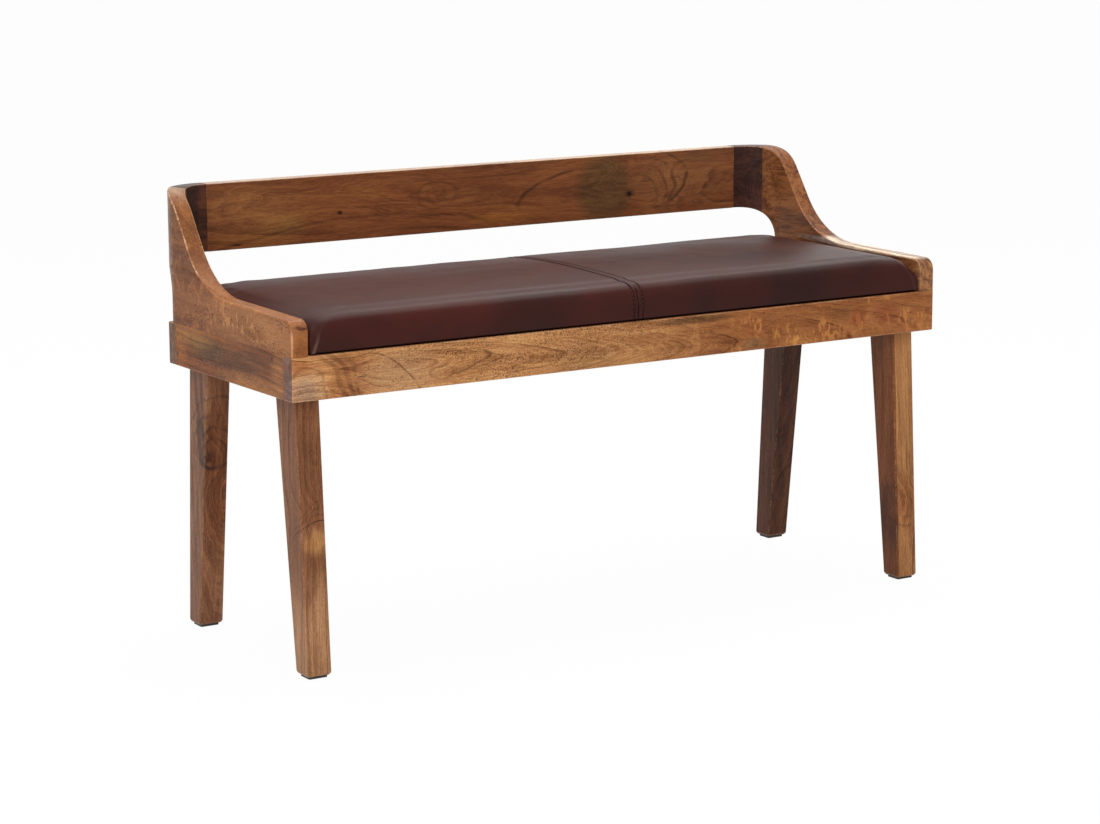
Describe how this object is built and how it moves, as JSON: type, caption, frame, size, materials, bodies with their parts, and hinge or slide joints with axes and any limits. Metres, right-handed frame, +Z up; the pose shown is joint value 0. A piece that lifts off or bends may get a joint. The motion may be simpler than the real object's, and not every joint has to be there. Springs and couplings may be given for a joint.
{
  "type": "upholstered bench",
  "caption": "Low wooden bench with a padded leather seat, two arms that sweep up into a wrap-round back, and tapered splayed legs.",
  "frame": {"origin": "on the floor, below the middle of the whole bench's box", "axes": "+X along the bench's length, to a sitter's left; +Y from the open front towards the backrest; +Z up"},
  "size_m": [1.1, 0.431, 0.639],
  "materials": {
    "honey_wood": "oiled, satin",
    "red_wood": "oiled, satin",
    "brown_wood": "oiled, satin",
    "dark_wood": "oiled, satin",
    "pale_wood": "planed, bare",
    "plywood": "sanded, bare",
    "foam": "soft open-cell foam",
    "oxblood_leather": "smooth, soft sheen",
    "black_cloth": "thin non-woven, matte",
    "black_plastic": "matte",
    "steel": "zinc plated",
    "brass_insert": "plain"
  },
  "bodies": {
    "root": {"front_rail": "honey_wood", "back_rail": "brown_wood", "left_side_rail": "brown_wood", "right_side_rail": "brown_wood", "left_cross_rail": "pale_wood", "middle_cross_rail": "pale_wood", "right_cross_rail": "pale_wood", "left_arm": "red_wood", "right_arm": "red_wood", "left_back_corner": "dark_wood", "right_back_corner": "dark_wood", "backrest_board": "honey_wood", "front_left_leg": "red_wood", "front_right_leg": "honey_wood", "rear_left_leg": "brown_wood", "rear_right_leg": "dark_wood", "front_left_glide": "black_plastic", "front_right_glide": "black_plastic", "rear_left_glide": "black_plastic", "rear_right_glide": "black_plastic", "leg_bolts": "steel", "leg_washers": "steel", "leg_inserts": "brass_insert", "rail_dowels": "pale_wood", "cross_rail_dowels": "pale_wood", "arm_dowels": "pale_wood", "back_dowels": "pale_wood", "seat_board": "plywood", "seat_foam": "foam", "left_leather_panel": "oxblood_leather", "right_leather_panel": "oxblood_leather", "dust_cover": "black_cloth", "seat_screws": "steel"}
  },
  "joints": []
}
